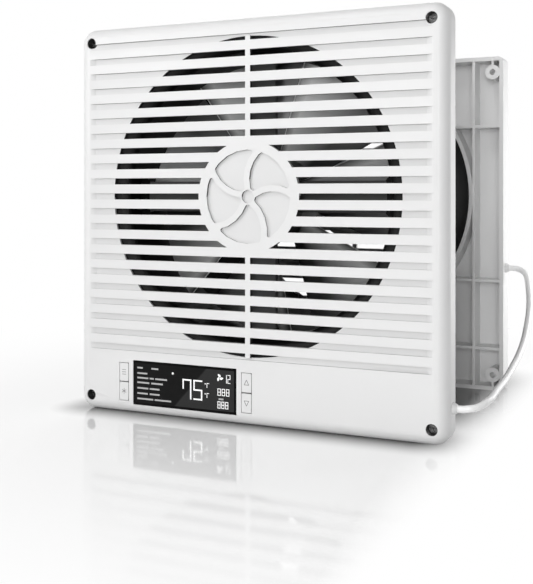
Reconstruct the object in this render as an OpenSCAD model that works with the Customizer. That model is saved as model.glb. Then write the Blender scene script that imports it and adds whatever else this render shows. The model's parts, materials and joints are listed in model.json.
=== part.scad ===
// Through-wall booster fan: a louvred front unit with display, a telescoping round duct that holds
// an axial fan, and a louvred rear unit. X is across, Y runs from the room through the wall, Z is up.
// The part stands on its two panels, and the origin is in the middle of that footprint.

/* [Front panel] */
// Width of the front panel
panel_w = 260; // [250:1:300]
// Height of the front panel
panel_h = 260; // [256:1:290]
// Depth of the front panel's tray
panel_d = 16; // [16:0.5:22]
// Wall of the front panel
panel_t = 3; // [2.5:0.1:4]
// Radius of the panels' corners, seen from the front
corner_r = 10; // [9:0.5:14]
// Radius that rounds the edge of each panel's face
edge_r = 8; // [5:0.5:8]
// Height of the control strip, from the base to the round field of louvres
strip_h = 43.5; // [43:0.5:48]
// Distance from that field to the top of the panel
top_gap = 12.5; // [12:0.5:20]
// Distance from the panel's edges to its corner screws
screw_inset = 10; // [9:0.5:12]
// Diameter of the countersunk well round each corner screw
well_d = 7.2; // [6.5:0.1:8]
// Depth of that well
well_depth = 8; // [6:0.5:9]

/* [Louvres] */
// Distance from one slot to the next
slot_pitch = 10.14; // [9.8:0.02:10.2]
// Height of a slot
slot_h = 4.1; // [3:0.1:5]
// Distance from a panel's sides to the ends of the grooves that carry the slots across its face
groove_in = 9; // [8.5:0.5:14]
// Depth of those grooves
groove_d = 1.6; // [0.8:0.1:2]
// Length of the slope in which a groove runs out
groove_slope = 4; // [2:0.5:8]
// Width of the upright bar in the middle
bar_w = 3.5; // [3:0.1:5]

/* [Emblem] */
// Radius of the plain disc in the middle of the louvres
disc_r = 35.7; // [34:0.1:38]
// Radius to which the blade-shaped pockets reach
pocket_r = 29.8; // [27:0.1:31]
// Depth of the pockets
pocket_d = 1.6; // [0.8:0.1:2]
// Radius of the round boss in the middle
boss_r = 5.2; // [4.6:0.1:6]
// Width of the curved spokes between the pockets
spoke_w = 4; // [3:0.1:5]
// Radius of the curve of the spokes
spoke_bend = 23.8; // [20:0.1:30]
// Radius that rounds the corners of the pockets
pocket_round = 1.4; // [0.8:0.1:2]
// Number of pockets
pockets = 5; // [3:1:6]

/* [Control strip] */
// Height of the display's middle above the base
strip_z = 21.2; // [20.8:0.1:21.4]
// Distance from the panel's left side to the display's middle
display_in = 83; // [82:0.5:86]
// Width of the display window
display_w = 78; // [70:0.5:79]
// Height of the display window
display_h = 29.7; // [26:0.1:30]
// Width of a button
button_w = 6.9; // [6:0.1:7.2]
// Height of a button
button_h = 12.2; // [11:0.1:12.4]
// Distance between the two buttons of a pair
button_split = 0.6; // [0.5:0.1:1]
// Distance from the display to the middle of a column of buttons
button_gap = 7.2; // [6.6:0.1:8]
// Travel of a button
button_travel = 0.8; // [0.5:0.1:0.9]

/* [Rear panel] */
// Width of the rear panel
rear_w = 250; // [246:1:270]
// Height of the rear panel
rear_h = 250; // [249:1:264]
// Depth of the rear panel's tray
rear_d = 20; // [18:0.5:30]
// Wall of the rear panel
rear_t = 3; // [2.5:0.1:4]
// Radius of the rear panel's corners, seen from behind
rear_corner_r = 4; // [4:0.5:8]
// Radius that rounds the edge of the rear panel's face
rear_edge_r = 3; // [1:0.5:4]
// How far the open field of the rear louvres stays inside the rear tube
rear_open_in = 2; // [1:0.5:8]
// Distance from the rear panel's sides to its corner bosses
boss_side = 8.2; // [8:0.1:8.4]
// Distance from the rear panel's top and bottom to its corner bosses
boss_end = 11.5; // [10.5:0.5:14]
// Diameter of a corner boss
boss_d = 11; // [10.6:0.1:12]
// Diameter of the screw hole in a corner boss
boss_hole_d = 4.5; // [4:0.1:5]
// Thickness of the stiffening ribs
rib_t = 2; // [1.6:0.1:3]
// Distance from the collar's outside to the middle of the upright ribs
rib_out = 0.7; // [0.3:0.1:0.8]
// Height of the upper level rib over the axis
rib_up = 52.5; // [48:0.5:60]
// Depth of the middle level rib under the axis
rib_down = 63.5; // [58:0.5:68]
// Height of the lowest level rib over the base
low_rib_z = 31; // [28:0.5:34]

/* [Duct] */
// Space between the two panels, which is the thickness of the wall
wall_gap = 157; // [152:1:170]
// How far the rear unit pushes in for a thinner wall, and pulls out for a thicker one
slide_travel = 36; // [20:1:36]
// How much smaller the rear unit's collar is inside than the open field, in radius
collar_in = 3; // [2.5:0.1:5]
// Wall of the collar
collar_t = 2.8; // [2:0.1:3]
// Wall of each duct tube and of the fan's ring
tube_t = 1.8; // [1.5:0.1:2.2]
// Gap between two tubes that slide in each other
tube_gap = 0.3; // [0.2:0.05:0.5]
// How much the two tubes overlap when the wall is as thick as the space above
tube_overlap = 47; // [46:1:52]

/* [Fan] */
// Depth of the fan's ring
ring_l = 48; // [44:1:56]
// Distance from the front of the fan's ring to its arms
arm_in = 10.5; // [9:0.5:11]
// Thickness of the arms
arm_t = 3.5; // [3:0.1:4]
// Width of the four arms
arm_w = 20; // [16:0.5:22]
// Radius of the motor seat in the middle of the arms
seat_r = 29; // [26:0.5:31]
// Outer radius of the impeller's hub
hub_r = 28; // [26.5:0.1:30]
// Number of blades
blades = 7; // [4:1:7]
// Thickness of a blade
blade_t = 1.8; // [1.2:0.1:2.4]
// Depth of a blade where it leaves the hub
blade_root_d = 22; // [18:0.5:23]
// Depth of a blade at its tip
blade_tip_d = 18; // [12:0.5:20]
// Angle that a blade covers, seen from the front
blade_span = 46; // [30:1:48]
// Gap between the blades' tips and the ring
tip_gap = 1.6; // [1:0.1:3]
// Radius of the motor's shaft
shaft_r = 2.5; // [2:0.1:3]
// Outer radius of the two ball bearings
bearing_r = 8; // [7:0.1:8.5]
// Length of a ball bearing
bearing_l = 5; // [4:0.5:6]
// Number of stator teeth
teeth = 9; // [6:3:12]

/* [Cable] */
// Diameter of the cable that joins the two units
cable_d = 4.3; // [3.8:0.1:5]
// Height at which the cable leaves the rear unit
rear_exit_z = 91.5; // [89:0.5:96]
// Height at which the cable enters the front unit
front_exit_z = 21.5; // [18:0.5:24]
// How far a cable grommet stands out of its panel
grommet_l = 3; // [2:0.5:5]

/* [Hidden] */
$fn = 96;
fit = 0.3; // clearance round a piece that drops into another
snug = 0.02; // clearance of a piece that is pressed into another
run = 0.03; // clearance of a shaft that turns in a bore
cut = 1; // how far a cutter reaches past a face

// Places along Y
depth = panel_d + wall_gap + rear_d;
face_y = -depth / 2;
inner_y = face_y + panel_t;
panel_back = face_y + panel_d;
rim_y = panel_back + wall_gap;
back_y = rim_y + rear_d;
plate_t = 2.5;
plate_y = panel_back - plate_t;
flange_t = 2;
tube_y = plate_y - flange_t;
flange_y = tube_y - flange_t;

// The round field of louvres fills the panel between the control strip and the gap at the top
open_r = (panel_h - strip_h - top_gap) / 2;
axis_z = strip_h + open_r;
slots = 2 * floor(open_r / slot_pitch) + 1;
groove_half = panel_w / 2 - groove_in;

// Radii of the tubes that sit in one another
collar_r = open_r - collar_in;
rear_tube_r = collar_r - tube_gap / 2;
front_tube_r = rear_tube_r - tube_t - tube_gap;
ring_r = front_tube_r - tube_t - tube_gap;
throat_r = ring_r - tube_t;
tip_r = throat_r - tip_gap;
mouth_r = open_r + 1;
mouth_y = inner_y + fit;
bell_l = flange_y - mouth_y;
flange_r = front_tube_r + 10;
rear_tube_y = panel_back + slide_travel + 16;
front_tube_end = rear_tube_y + tube_overlap;

// Lugs that screw the fan to the mounting plate
lug_r = 6;
lug_at = (flange_r + 2 * lug_r) / sqrt(2);
lug_web_w = 10;
fan_screw_r = 1.7;
screw_head_h = 2.4;
screw_head_r = 3.3;
cover_screw_r = 1.9;

// Motor and impeller
arm_front = flange_y + arm_in;
seat_y = arm_front + arm_t;
shelf_y = seat_y + 1.5;
motor_board_t = 1.2;
hub_front = seat_y + 3.5;
hub_wall = 2.6;
cup_wall = 1.2;
magnet_wall = 2.4;
air_gap = 0.6;
cup_r = hub_r - hub_wall;
magnet_r = cup_r - cup_wall;
stator_r = magnet_r - magnet_wall - air_gap;
cup_back = hub_front + 27;
hub_back = cup_back + hub_wall;
cup_boss_l = 4;
cup_boss_r = 6;
post_r = bearing_r + 2;
post_back = cup_back - cup_boss_l - 1;
bore_front = arm_front + 1.2;
front_bearing_y = bore_front + 1.8;
rear_bearing_y = post_back - bearing_l;
stator_y = shelf_y + 7.5;
stator_l = 12;
coil_reach = 3;
clip_y = bore_front + 0.7;
clip_t = 0.8;
blade_mid = (hub_front + hub_back) / 2;
blade_turn = 28.5; // how far below level the first blade's front edge stands

// Control board and what sits on it
display_x = display_in - panel_w / 2;
board_t = 1.6;
board_y = face_y + 9.4;
board_w = 120;
board_h = 33;
board_hole = [56, 12];
board_screw_r = 1.2;
board_post_r = 2.6;
lip = 1.4;
chips = [[-30, 7, 9], [-12, 7, 9], [8, 12, 12], [26, 7, 9]]; // place across, width and height
chip_t = 2;
lens_sink = 0.2;
lens_lip_t = 1;
glass_y = inner_y + lens_lip_t;
glass_t = 2.2;
receiver_w = 8; // room that the receiver takes beside the display
receiver = [5.4, 2.6, 6.4];
receiver_in = 3.2;
dome_r = 1.9;
dome_h = 1.2;
switch_w = 6;
switch_h = 3.4;
nub_r = 1.6;
nub_h = 0.8;
nub_y = board_y - switch_h - nub_h;
button_round = 0.8;
button_lip = 0.9;
button_lip_t = 1;
stem_r = 1.5;
stem_gap = 0.1; // between a pressed key's stem and its switch
button_x = button_gap + display_w / 2;
button_z = (button_h + button_split) / 2;
exit_y = face_y + 9.8;
jack_w = 7;
jack_l = 13;
jack_z = 21.5;
jack_r = 3.3;
jack_socket_r = 2.8;
jack_socket_l = 9;
jack_pin_r = 1;

// Shape of the panels' shells and of the emblem
edge_step = 1.5;
step_short = 2;
spoke_at = [spoke_bend - 0.9, 11]; // centre of the curve of the first spoke

// Rear unit
rib_sink = 0.6;
rear_inner_y = back_y - rear_t;
rear_open_r = rear_tube_r - tube_t - rear_open_in;
rear_slots = 2 * floor(rear_open_r / slot_pitch) + 1;
rear_groove_half = rear_w / 2 - groove_in;
rib_x = collar_r + collar_t + rib_out;
web_t = 1.6;
gate_r = 5; // the shallow round mark where the rear panel was moulded
gate_d = 0.5;

// Link cable: out of the rear unit, round and down beside the wall, and into the front unit
cable_r = cable_d / 2;
cable_sides = 8;
grommet_neck_r = 2.8;
grommet_r = 3.6;
rear_exit = [rear_w / 2, rim_y + 7.5, rear_exit_z];
front_exit = [panel_w / 2, exit_y, front_exit_z];
route = concat(
    [rear_exit + [grommet_l, 0, 0], rear_exit + [5.5, 0, 0]],
    [
        [134.5, 83.5, 91], [138.5, 81.5, 89.5], [141.5, 78.5, 87], [143.5, 74, 83], [146, 65, 76],
        [148, 56, 69.5], [149.5, 45, 62], [150.5, 33, 55.5], [151.5, 20.5, 50], [152, 7.5, 45],
        [152, -6, 40.5], [151.5, -19.5, 36.5], [151, -33, 33], [150, -46, 30], [149, -58, 27.5],
        [148.5, -67, 25.5], [147.5, -74, 24.5], [146, -79.5, 23.5], [143.5, -83.5, 22.5], [140, -86, 22]
    ],
    [front_exit + [6, 0, 0], front_exit + [grommet_l, 0, 0]]
);

function unit(v) = v / norm(v);

// An outline in X and Z, pushed from one Y to another
module push(from, to) {
    translate([0, to, 0]) rotate([90, 0, 0]) linear_extrude(to - from) children();
}

// A round bar along Y
module rod(r, from, to) {
    push(from, to) circle(r);
}

// A profile in radius and Y, turned round the fan's axis
module turned() {
    translate([0, 0, axis_z]) rotate([-90, 0, 0]) rotate_extrude() children();
}

// A rectangle of that profile, between two radii and two places along Y
module band(r_in, r_out, from, to) {
    translate([r_in, from]) square([r_out - r_in, to - from]);
}

module rounded(w, h, r) {
    square([w, h - 2 * r], center = true);
    square([w - 2 * r, h], center = true);
    for (x = [-1, 1], z = [-1, 1]) translate([x * (w / 2 - r), z * (h / 2 - r)]) circle(r);
}

module quarter(r) {
    intersection() {
        circle(r);
        square(r);
    }
}

module at_corners(w, h, side, end) {
    for (x = [-1, 1], z = [end, h - end]) translate([x * (w / 2 - side), 0, z]) children();
}

// A slab with its face at y = 0 and its foot at z = 0, whose face has rounded edges
module soft_slab(w, h, d, corner, edge) {
    translate([0, 0, h / 2]) {
        push(edge, d) rounded(w, h, corner);
        push(0, edge) rounded(w - 2 * edge, h - 2 * edge, corner - edge);
        for (turn = [0, 1]) {
            mirror([turn, 0, 0]) translate([w / 2 - edge, edge, 0]) rotate([0, 0, -90])
                linear_extrude(h - 2 * corner, center = true) quarter(edge);
            mirror([0, 0, turn]) translate([0, edge, h / 2 - edge]) rotate([90, 0, 90])
                linear_extrude(w - 2 * corner, center = true) rotate(90) quarter(edge);
        }
        for (x = [0, 1], z = [0, 1]) mirror([x, 0, 0]) mirror([0, 0, z])
            translate([w / 2 - corner, edge, h / 2 - corner]) rotate([90, 0, 0])
                rotate_extrude(angle = 90) translate([corner - edge, 0]) quarter(edge);
    }
}

// The moulded tray that both panels are made from, open towards +Y; where the edge is rounder than
// the wall is thick, a step keeps the wall whole behind it
module tray(w, h, d, t, corner, edge) {
    step_end = max(t, edge - step_short);
    difference() {
        soft_slab(w, h, d, corner, edge);
        translate([0, 0, h / 2]) {
            push(step_end, d + cut) rounded(w - 2 * t, h - 2 * t, corner - t);
            if (step_end > t) push(t, step_end)
                rounded(w - 2 * t - 2 * edge_step, h - 2 * t - 2 * edge_step, corner - t);
        }
    }
}

module slot_rows(n, half) {
    for (k = [0 : n - 1])
        translate([0, (k - (n - 1) / 2) * slot_pitch]) square([2 * half, slot_h], center = true);
}

// The open part of the louvres: slots in a round field, less the upright bar and the plain disc
module open_slots(n, r) {
    difference() {
        intersection() {
            slot_rows(n, r + cut);
            circle(r);
        }
        circle(disc_r);
        square([bar_w, 2 * r + 2 * cut], center = true);
    }
}

// Shallow grooves in a face at y = 0 that carry the slots on across it and run out in slopes
module closed_grooves(n, half, r) {
    over = groove_slope * cut / groove_d;
    difference() {
        for (k = [0 : n - 1]) translate([0, 0, (k - (n - 1) / 2) * slot_pitch])
            linear_extrude(slot_h, center = true) polygon([
                [-half - over, -cut], [groove_slope - half, groove_d], [half - groove_slope, groove_d],
                [half + over, -cut]
            ]);
        rod(r, -2 * cut, groove_d + cut);
    }
}

// Shallow pockets between curved spokes, like the blades of a small fan
module emblem() {
    offset(r = pocket_round, $fn = 24) offset(delta = -pocket_round) difference() {
        circle(pocket_r);
        circle(boss_r);
        for (i = [0 : pockets - 1]) rotate(-i * 360 / pockets) intersection() {
            translate(spoke_at) difference() {
                circle(spoke_bend + spoke_w / 2);
                circle(spoke_bend - spoke_w / 2);
            }
            translate([-pocket_r, 0]) square([2 * pocket_r, pocket_r + cut]);
        }
    }
    circle(boss_r - 1);
}

module at_board_holes() {
    for (x = [-1, 1], z = [-1, 1])
        translate([display_x + x * board_hole[0], 0, strip_z + z * board_hole[1]]) children();
}

module at_buttons() {
    for (x = [-1, 1], z = [-1, 1])
        translate([display_x + x * button_x, 0, strip_z + z * button_z]) children();
}

module at_lugs() {
    for (x = [-1, 1], z = [-1, 1]) translate([x * lug_at, 0, axis_z + z * lug_at]) children();
}

module display_outline(gap) {
    translate([display_x, strip_z]) square([display_w - 2 * gap, display_h - 2 * gap], center = true);
}

module front_cover() {
    color("white") difference() {
        union() {
            translate([0, face_y, 0]) tray(panel_w, panel_h, panel_d, panel_t, corner_r, edge_r);
            at_corners(panel_w, panel_h, screw_inset, screw_inset) rod(boss_d / 2, inner_y - cut, plate_y);
            at_board_holes() rod(board_post_r, inner_y - cut, board_y);
        }
        translate([0, 0, axis_z]) {
            push(face_y - cut, inner_y + cut) open_slots(slots, open_r);
            translate([0, face_y, 0]) closed_grooves(slots, groove_half, open_r);
            push(face_y - cut, face_y + pocket_d) emblem();
        }
        at_corners(panel_w, panel_h, screw_inset, screw_inset) {
            rod(well_d / 2, face_y - cut, face_y + well_depth);
            rod(cover_screw_r + fit, face_y, panel_back);
        }
        at_board_holes() rod(board_screw_r + snug, inner_y, board_y + cut);
        push(face_y - cut, inner_y + cut) display_outline(0);
        for (x = [-1, 1]) push(face_y - cut, inner_y + cut)
            translate([display_x + x * button_x, strip_z])
                square([button_w + 2 * fit, 2 * button_h + button_split + 2 * fit], center = true);
        translate(front_exit - [panel_t + cut, 0, 0]) rotate([0, 90, 0])
            cylinder(r = grommet_neck_r + snug, h = panel_t + 2 * cut);
        translate([-panel_w / 2 - cut, exit_y, jack_z]) rotate([0, 90, 0])
            cylinder(r = jack_r + snug, h = panel_t + 2 * cut);
    }
}

module display_lens() {
    color([0.03, 0.03, 0.04]) {
        push(face_y + lens_sink, inner_y) display_outline(0.15);
        push(inner_y, glass_y) display_outline(-lip);
    }
}

module display_panel() {
    color([0.1, 0.12, 0.14]) push(glass_y, glass_y + glass_t)
        translate([display_x + receiver_w / 2, strip_z])
            square([display_w - receiver_w - 2, display_h - 2], center = true);
}

module display_holder() {
    color("whitesmoke") difference() {
        push(glass_y, board_y) translate([display_x + receiver_w / 2, strip_z])
            square([display_w - receiver_w + 2 * lip, display_h + 2 * lip], center = true);
        push(glass_y - cut, glass_y + glass_t) translate([display_x + receiver_w / 2, strip_z])
            square([display_w - receiver_w - 2 + 2 * snug, display_h - 2 + 2 * snug], center = true);
    }
}

module control_board() {
    color("darkgreen") difference() {
        push(board_y, board_y + board_t) translate([display_x, strip_z])
            square([board_w, board_h], center = true);
        at_board_holes() rod(board_screw_r + fit, board_y - cut, board_y + board_t + cut);
    }
    color("dimgray") for (chip = chips)
        push(board_y + board_t, board_y + board_t + chip_t) translate([display_x + chip[0], strip_z])
            square([chip[1], chip[2]], center = true);
}

module tact_switches() {
    color("gray") at_buttons() {
        push(board_y - switch_h, board_y) square(switch_w, center = true);
        rod(nub_r, nub_y, board_y - switch_h);
    }
}

module remote_receiver() {
    front = board_y - receiver[1];
    color("black") translate([display_x - display_w / 2 + receiver_in, 0, strip_z]) {
        push(front, board_y) square([receiver[0], receiver[2]], center = true);
        rod(dome_r, front - dome_h, front);
    }
}

// A key with a lip on each side that stops it behind the panel, and a stem for its switch
module key(x, z) {
    color("gainsboro") translate([display_x + x * button_x, 0, strip_z + z * button_z]) {
        push(face_y, inner_y) rounded(button_w, button_h, button_round);
        push(inner_y, inner_y + button_lip_t)
            square([button_w + 2 * button_lip, button_h - 1], center = true);
        rod(stem_r, inner_y + button_lip_t, nub_y - button_travel - stem_gap);
    }
}

module menu_button() key(-1, 1);
module mode_button() key(-1, -1);
module up_button() key(1, 1);
module down_button() key(1, -1);

module power_jack() {
    color([0.1, 0.1, 0.1]) translate([-panel_w / 2, exit_y, jack_z]) difference() {
        union() {
            translate([panel_t, -jack_w / 2, -jack_w / 2]) cube([jack_l, jack_w, jack_w]);
            rotate([0, 90, 0]) cylinder(r = jack_r, h = panel_t + cut, $fn = 48);
        }
        translate([-cut, 0, 0]) rotate([0, 90, 0]) difference() {
            cylinder(r = jack_socket_r, h = jack_socket_l + cut, $fn = 48);
            cylinder(r = jack_pin_r, h = jack_socket_l + cut, $fn = 32);
        }
    }
}

// A pan-headed screw whose head lies towards -Y, with a cross recess
module screw(r, head_r, head_y, seat, tip) {
    difference() {
        union() {
            rod(head_r, head_y, seat);
            rod(r, seat, tip);
        }
        for (turn = [0, 90]) push(head_y - cut, head_y + (seat - head_y) * 0.6)
            rotate(turn) square([1.3 * head_r, 0.3 * head_r], center = true);
    }
}

module screw_from_behind(r, head_r, head_y, seat, tip) {
    mirror([0, 1, 0]) screw(r, head_r, -head_y, -seat, -tip);
}

module board_screws() {
    color("silver") at_board_holes()
        screw_from_behind(board_screw_r, 2.2, board_y + board_t + 1.5, board_y + board_t, inner_y + 2);
}

module cover_screws() {
    color("silver") at_corners(panel_w, panel_h, screw_inset, screw_inset)
        screw(cover_screw_r, screw_head_r, face_y + well_depth - screw_head_h, face_y + well_depth,
            panel_back - 0.4);
}

module fan_screws() {
    color("silver") at_lugs()
        screw(fan_screw_r, screw_head_r, flange_y - screw_head_h, flange_y, panel_back - 0.4);
}

module mounting_plate() {
    color("whitesmoke") difference() {
        union() {
            push(plate_y, panel_back) translate([0, panel_h / 2])
                rounded(panel_w - 2 * (panel_t + fit), panel_h - 2 * (panel_t + fit), corner_r - panel_t);
            at_lugs() rod(lug_r, tube_y, plate_y);
        }
        translate([0, 0, axis_z]) rod(front_tube_r + fit, tube_y - cut, panel_back + cut);
        at_corners(panel_w, panel_h, screw_inset, screw_inset)
            rod(cover_screw_r + snug, plate_y - cut, panel_back + cut);
        at_lugs() rod(fan_screw_r + snug, tube_y - cut, panel_back + cut);
    }
}

module bell_outline() {
    drop = mouth_r - throat_r;
    polygon(concat(
        [for (a = [0 : 15 : 90]) [mouth_r - drop * sin(a), mouth_y + bell_l * (1 - cos(a))]],
        [for (a = [90 : -15 : 0])
            [mouth_r - (drop - tube_t) * sin(a), mouth_y + tube_t + bell_l * (1 - cos(a))]]
    ));
}

module fan_frame() {
    color([0.09, 0.09, 0.1]) difference() {
        union() {
            turned() {
                bell_outline();
                band(throat_r, flange_r, flange_y, tube_y);
                band(throat_r, ring_r, flange_y, flange_y + ring_l);
                band(0, seat_r, arm_front, seat_y);
                band(0, bearing_r + 4, arm_front, shelf_y);
                band(0, post_r, arm_front, post_back);
            }
            translate([0, 0, axis_z]) {
                push(flange_y, tube_y) difference() {
                    for (turn = [45, 135]) rotate(turn)
                        square([2 * lug_at * sqrt(2), lug_web_w], center = true);
                    circle(throat_r + tube_t / 2);
                }
                push(arm_front, seat_y) for (turn = [0 : 90 : 270]) rotate(turn) arm_outline();
            }
            at_lugs() rod(lug_r, flange_y, tube_y);
        }
        translate([0, 0, axis_z]) rod(bearing_r + snug, bore_front, post_back + cut);
        turned() band(seat_r - 7, seat_r - 5, arm_front - cut, arm_front + 0.6);
        at_lugs() rod(fan_screw_r + fit, flange_y - cut, tube_y + cut);
    }
}

// A flat arm that widens where it meets the ring
module arm_outline() {
    foot = 8;
    translate([seat_r - 2, -arm_w / 2]) square([throat_r - seat_r + 2.5, arm_w]);
    polygon([
        [throat_r - foot, -arm_w / 2], [throat_r - foot, arm_w / 2], [throat_r - 0.2, arm_w / 2 + foot],
        [throat_r - 0.2, -arm_w / 2 - foot]
    ]);
}

module motor_board() {
    color("darkgreen") turned() band(post_r + 0.1, stator_r - 1, shelf_y, shelf_y + motor_board_t);
}

module stator_core() {
    tooth_w = 3.4;
    color("slategray") translate([0, 0, axis_z]) push(stator_y, stator_y + stator_l) {
        difference() {
            union() {
                circle(post_r + 2.4);
                for (i = [0 : teeth - 1]) rotate(i * 360 / teeth) {
                    translate([post_r + 1, -tooth_w / 2]) square([stator_r - post_r - 2.5, tooth_w]);
                    intersection() {
                        difference() {
                            circle(stator_r);
                            circle(stator_r - 1.6);
                        }
                        translate([0, -stator_r * 0.27]) square([stator_r, stator_r * 0.54]);
                    }
                }
            }
            circle(post_r + snug);
        }
    }
}

module stator_windings() {
    tooth_w = 3.4;
    coil = 1.3;
    color("peru") translate([0, 0, axis_z]) for (i = [0 : teeth - 1]) rotate([0, i * 360 / teeth, 0])
        translate([post_r + 3, 0, 0]) difference() {
            translate([0, stator_y - coil_reach, -tooth_w / 2 - coil])
                cube([stator_r - post_r - 5.2, stator_l + 2 * coil_reach, tooth_w + 2 * coil]);
            translate([-cut, stator_y - snug, -tooth_w / 2 - snug])
                cube([stator_r, stator_l + 2 * snug, tooth_w + 2 * snug]);
        }
}

module bearing(from) {
    groove = 0.4;
    color("lightsteelblue") turned() difference() {
        band(shaft_r + run, bearing_r, from, from + bearing_l);
        band(shaft_r + 1.6, bearing_r - 1.4, from - cut, from + groove);
        band(shaft_r + 1.6, bearing_r - 1.4, from + bearing_l - groove, from + bearing_l + cut);
    }
}

module front_bearing() bearing(front_bearing_y);
module rear_bearing() bearing(rear_bearing_y);

module front_tube() {
    color([0.05, 0.05, 0.055]) turned() {
        band(front_tube_r - tube_t, flange_r, tube_y, plate_y);
        band(front_tube_r - tube_t, front_tube_r, tube_y, front_tube_end);
    }
}

module motor_shaft() {
    color("silver") turned() {
        difference() {
            band(0, shaft_r, bore_front + 0.3, cup_back);
            band(shaft_r - 0.5, shaft_r + cut, clip_y, clip_y + clip_t);
        }
    }
}

module shaft_clip() {
    color("dimgray") turned() band(shaft_r - 0.5 + snug, shaft_r + 2, clip_y + snug, clip_y + clip_t - snug);
}

module magnet_ring() {
    color([0.2, 0.2, 0.22]) turned()
        band(magnet_r - magnet_wall, magnet_r, stator_y - 1, stator_y + stator_l + 2);
}

module rotor_cup() {
    color("gray") turned() {
        band(magnet_r + snug, cup_r, hub_front + 1, cup_back);
        band(shaft_r + snug, magnet_r + cup_wall / 2, cup_back - cup_wall, cup_back);
        band(shaft_r + snug, cup_boss_r, cup_back - cup_boss_l, cup_back);
    }
}

// A point on a blade: s runs out from hub to tip, c across from the leading to the trailing edge
function blade_point(s, c, side) = let (
    r = hub_r - 1.2 + s * (tip_r - hub_r + 1.2),
    reach = blade_root_d + s * (blade_tip_d - blade_root_d),
    angle = (c - 1) * blade_span,
    lift = (c - 0.5) * reach - 1.6 * sin(180 * c),
    thick = side * blade_t / 2 * (0.35 + 0.65 * sin(180 * c))
) [r * cos(angle), r * sin(angle), lift + thick];

module blade() {
    rows = 6;
    cols = 6;
    n = cols + 1;
    skin = n * (rows + 1);
    points = [
        for (side = [-1, 1], i = [0 : rows], j = [0 : cols]) blade_point(i / rows, j / cols, side)
    ];
    under = [for (i = [0 : rows - 1], j = [0 : cols - 1]) let (a = i * n + j)
        each [[a, a + n, a + 1], [a + 1, a + n, a + n + 1]]];
    over = [for (f = under) [f[0] + skin, f[2] + skin, f[1] + skin]];
    rim = concat(
        [for (j = [0 : cols]) j], [for (i = [1 : rows]) i * n + cols],
        [for (j = [cols - 1 : -1 : 0]) rows * n + j], [for (i = [rows - 1 : -1 : 1]) i * n]
    );
    edge = [for (k = [0 : len(rim) - 1]) let (a = rim[k], b = rim[(k + 1) % len(rim)])
        each [[a, b, b + skin], [a, b + skin, a + skin]]];
    polyhedron(points, concat(under, over, edge));
}

module impeller() {
    color([0.16, 0.16, 0.17]) {
        turned() {
            band(cup_r + snug, hub_r, hub_front, hub_back);
            band(0, hub_r - hub_wall / 2, cup_back + snug, hub_back);
        }
        translate([0, blade_mid, axis_z]) for (i = [0 : blades - 1])
            rotate([0, i * 360 / blades + blade_turn, 0]) rotate([90, 0, 0]) blade();
    }
}

module rib_outline() {
    for (side = [-1, 1]) translate([side * rib_x, rear_h / 2])
        square([rib_t, rear_h - 2 * rear_t + cut], center = true);
    translate([0, low_rib_z]) square([rear_w - 2 * rear_t + cut, rib_t], center = true);
    difference() {
        for (z = [rib_up, -rib_down]) translate([0, axis_z + z])
            square([rear_w - 2 * rear_t + cut, rib_t], center = true);
        translate([0, axis_z]) circle(collar_r + collar_t / 2);
    }
    for (side = [-1, 1], top = [0, 1]) translate([side * (rear_w / 2 - boss_side), top * rear_h])
        mirror([0, top]) translate([-web_t / 2, rear_t / 2]) square([web_t, boss_end - rear_t]);
}

module rear_cover() {
    color("white") difference() {
        union() {
            translate([0, back_y, 0]) mirror([0, 1, 0])
                tray(rear_w, rear_h, rear_d, rear_t, rear_corner_r, rear_edge_r);
            turned() band(collar_r, collar_r + collar_t, rim_y, rear_inner_y + rear_t / 2);
            push(rim_y + rib_sink, rear_inner_y + rear_t / 2) rib_outline();
            at_corners(rear_w, rear_h, boss_side, boss_end)
                rod(boss_d / 2, rim_y + rib_sink, back_y - rear_t / 2);
        }
        translate([0, 0, axis_z]) {
            push(rear_inner_y - cut, back_y + cut) open_slots(rear_slots, rear_open_r);
            rod(gate_r, back_y - gate_d, back_y + cut);
            translate([0, back_y, 0]) mirror([0, 1, 0])
                closed_grooves(rear_slots, rear_groove_half, rear_open_r);
        }
        at_corners(rear_w, rear_h, boss_side, boss_end) rod(boss_hole_d / 2, rim_y - cut, back_y + cut);
        translate(rear_exit - [rear_t + cut, 0, 0]) rotate([0, 90, 0])
            cylinder(r = grommet_neck_r + snug, h = rear_t + 2 * cut);
    }
}

module rear_tube() {
    color([0.05, 0.05, 0.055]) turned()
        band(rear_tube_r - tube_t, rear_tube_r, rear_tube_y, rear_inner_y - fit);
}

// A rubber grommet that holds the cable in a panel's side wall
module grommet(at, wall) {
    inner_lip = 1;
    color("whitesmoke") translate(at) rotate([0, 90, 0]) rotate_extrude($fn = 48) polygon([
        [0, -wall - inner_lip], [grommet_r, -wall - inner_lip], [grommet_r, -wall], [grommet_neck_r, -wall],
        [grommet_neck_r, 0], [grommet_r, 0], [grommet_r, 0.8], [cable_r + 0.4, grommet_l], [0, grommet_l]
    ]);
}

module front_grommet() grommet(front_exit, panel_t);
module rear_grommet() grommet(rear_exit, rear_t);

module link_cable() {
    last = len(route) - 1;
    rings = [for (i = [0 : last]) let (
        ahead = unit(route[min(i + 1, last)] - route[max(i - 1, 0)]),
        across = unit(cross(ahead, [0, 0, 1])),
        over = cross(across, ahead)
    ) [for (k = [0 : cable_sides - 1]) let (a = 360 * k / cable_sides)
        route[i] + cable_r * (cos(a) * across + sin(a) * over)]];
    walls = [for (i = [0 : last - 1], k = [0 : cable_sides - 1]) let (
        a = i * cable_sides + k, b = i * cable_sides + (k + 1) % cable_sides
    ) each [[a, b, a + cable_sides], [b, b + cable_sides, a + cable_sides]]];
    start = [for (k = [cable_sides - 1 : -1 : 0]) k];
    end = [for (k = [0 : cable_sides - 1]) last * cable_sides + k];
    color("white") polyhedron([for (ring = rings) each ring], concat(walls, [start, end]));
}

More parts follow.
